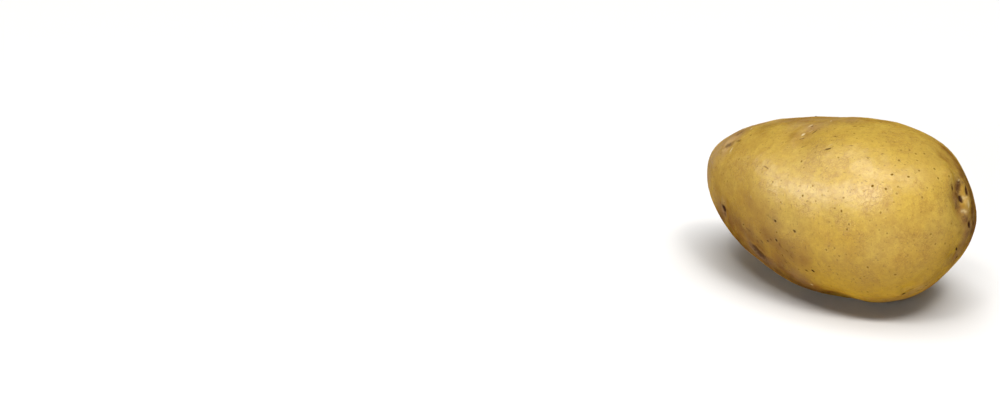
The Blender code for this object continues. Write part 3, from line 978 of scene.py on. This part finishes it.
def skin_colour(n, maps):
    """Golden below and paler above, partly the skin's own tone and partly a painted sheen, with an uneven
    border, and coats of colour over it one by one, some of them painted shade.
    """
    uneven = n.math("MULTIPLY", n.math("SUBTRACT", n.noise(BORDER_SIZE, detail=2.0), 0.5), BORDER_SWING)
    colour = n.mix(n.span(n.math("ADD", n.height, uneven), *PALE_AND_SHEEN_HEIGHTS), GOLD_SKIN, PALE_SKIN_AND_SHEEN)
    coats = (
        (n.span(maps.mottle, 0.25, 0.75, 0.0, 0.22), OCHRE_SKIN_AND_SHADE),
        (n.span(maps.cloud, 0.38, 0.66, 0.0, 0.22), OCHRE_SKIN_AND_SHADE),
        (n.span(maps.grain, 0.30, 0.70, 0.18, 0.0), OCHRE_SKIN_AND_SHADE),
        (n.math("MULTIPLY", maps.cracks, 0.35), OCHRE_SKIN_AND_SHADE),
        (n.math("MULTIPLY", maps.ochre, n.span(maps.mottle, 0.2, 0.6, 0.6, 1.0)), OCHRE_SKIN_AND_SHADE),
        (n.math("MULTIPLY", maps.mauve, n.span(maps.scurf, 0.30, 0.65, 0.35, 1.0)), MAUVE_DUST_AND_SHADE),
        (n.math("MULTIPLY", maps.rust, n.span(maps.scurf, 0.35, 0.60, 0.35, 1.0)), RUST_SCURF_AND_SHADE),
        (n.span(n.noise(FRECKLE_SIZE, detail=1.0), 0.64, 0.76, 0.0, 0.45), RUST_SCURF_AND_SHADE),
        (n.math("MULTIPLY", maps.halo, 0.10), PALE_FLAKE_AND_GLINT),
        (maps.pit, PORE_BROWN),
        (maps.gold, GOLD_FLESH),
        (maps.dark, DARK_SCAR_AND_SHADE),
        (maps.pale, PALE_FLAKE_AND_GLINT),
    )
    for share, coat in coats:
        colour = n.mix(share, colour, coat)
    return colour


def skin_roughness(n, maps):
    rough = n.span(maps.mottle, 0.2, 0.8, 0.32, 0.37)
    for share, value in ((maps.mauve, 0.75), (maps.rust, 0.80), (maps.pit, 0.85)):
        rough = n.blend(share, rough, value)
    return rough


def skin_shine(n, maps):
    """The cork cells of the skin take the shine away at a glancing view, and pores and scars have none."""
    facing = n.tree.nodes.new("ShaderNodeLayerWeight")
    facing.inputs["Blend"].default_value = 0.5
    shine = n.span(facing.outputs["Facing"], 0.25, 0.75, 1.0, 0.0)
    return n.blend(n.math("MAXIMUM", maps.pit, maps.dark), shine, 0.0)


def skin_bump(n, maps):
    """The bumped normal: scurf, grain and cloud, with pores, scars and cracks cut into them."""
    height = n.blend(0.5, maps.scurf, maps.grain)
    steps = (
        ("ADD", maps.cloud, 1.5),
        ("SUBTRACT", maps.pit, 1.2),
        ("ADD", maps.halo, 0.4),
        ("SUBTRACT", maps.dark, 0.8),
        ("SUBTRACT", maps.cracks, 0.8),
    )
    for operation, share, weight in steps:
        height = n.math(operation, height, n.math("MULTIPLY", share, weight))
    bump = n.tree.nodes.new("ShaderNodeBump")
    n.fill(bump, {"Height": height, "Strength": BUMP_STRENGTH, "Distance": BUMP_HEIGHT})
    return bump.outputs["Normal"]


def skin_material():
    material = bpy.data.materials.new("potato_skin")
    material.use_nodes = True
    shader = material.node_tree.nodes["Principled BSDF"]
    n = Nodes(material.node_tree)
    maps = skin_maps(n)
    n.fill(shader, {
        "Base Color": skin_colour(n, maps),
        "Roughness": skin_roughness(n, maps),
        "Specular IOR Level": skin_shine(n, maps),
        "Normal": skin_bump(n, maps),
        "IOR": SKIN_IOR,
        "Subsurface Weight": DEEP_SHARE,
        "Subsurface Radius": DEEP_COLOUR,
        "Subsurface Scale": DEEP_REACH,
    })
    return material


def make_potato():
    skin = Skin()
    undulate(skin)
    for patches in (LOW_RIM_TINT_AND_SHADE_PATCHES, FLANK_TINT_AND_SHADE_PATCHES, TOP_DUST_AND_SHADE_PATCHES, STEM_END_PATCHES, BUD_END_STAIN_AND_SHADE_PATCHES):
        lay_patches(skin, patches)
    tint_hidden_sides(skin)
    scar_hidden_sides(skin)
    for eye in HIDDEN_EYES:
        dress_eye(skin, eye)
    dress_stem_scar(skin)
    for marks in (CROWN_EYE_MARKS, STEM_TOP_MARKS, TOP_MARKS, LOW_MARKS):
        press_marks(skin, marks)
    open_pores(skin)
    potato = build_skin(skin)
    potato.data.materials.append(skin_material())
    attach(potato, "root")
    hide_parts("potato")


def make_floor():
    """The pale table, wide enough to fill the view. Its glow is painted light, and the oval it leaves dark
    under the potato is a painted shadow.
    """
    mesh = bpy.data.meshes.new("floor")
    corners = [(x * FLOOR_REACH, y * FLOOR_REACH, 0) for x, y in ((-1, -1), (1, -1), (1, 1), (-1, 1))]
    mesh.from_pydata(corners, [], [(0, 1, 2, 3)])
    floor = bpy.data.objects.new("floor", mesh)
    floor.location.z = -FLOOR_DROP
    floor.visible_glossy = False
    bpy.context.scene.collection.objects.link(floor)
    material = bpy.data.materials.new("floor")
    material.use_nodes = True
    shader = material.node_tree.nodes["Principled BSDF"]
    n = Nodes(material.node_tree)
    # Distance from the middle of the painted shadow under the potato
    away = n.vector("LENGTH", n.vector("MULTIPLY", n.place, PAINTED_SHADOW_OVAL))
    n.fill(shader, {
        "Base Color": FLOOR_COLOUR,
        "Roughness": FLOOR_ROUGHNESS,
        "Specular IOR Level": 0.0,
        "Emission Color": WHITE,
        "Emission Strength": n.span(away, *PAINTED_SHADOW_SPAN, 0.0, PAINTED_FLOOR_GLOW),
    })
    mesh.materials.append(material)


def make_light(spec):
    """A soft light of that width and height that looks at the potato from that side."""
    towards = direction(spec.azimuth, spec.elevation)
    data = bpy.data.lights.new(spec.name, "AREA")
    data.shape = "RECTANGLE"
    data.size, data.size_y = spec.size
    data.energy = spec.power
    light = bpy.data.objects.new(spec.name, data)
    light.location = Vector(LIT_POINT) + towards * LIGHT_DISTANCE
    light.rotation_euler = towards.to_track_quat("Z", "Y").to_euler()
    bpy.context.scene.collection.objects.link(light)
    return light


def make_studio():
    for spec in LIGHTS:
        make_light(spec).visible_glossy = False
    for spec in GLOSS_LIGHTS:
        make_light(spec).visible_diffuse = False
    world = bpy.data.worlds.new("studio")
    world.use_nodes = True
    background = world.node_tree.nodes["Background"]
    background.inputs["Color"].default_value = WHITE
    background.inputs["Strength"].default_value = WORLD_GLOW
    bpy.context.scene.world = world
    bpy.context.scene.view_settings.view_transform = "Standard"


make_camera()
make_potato()
make_floor()
make_studio()
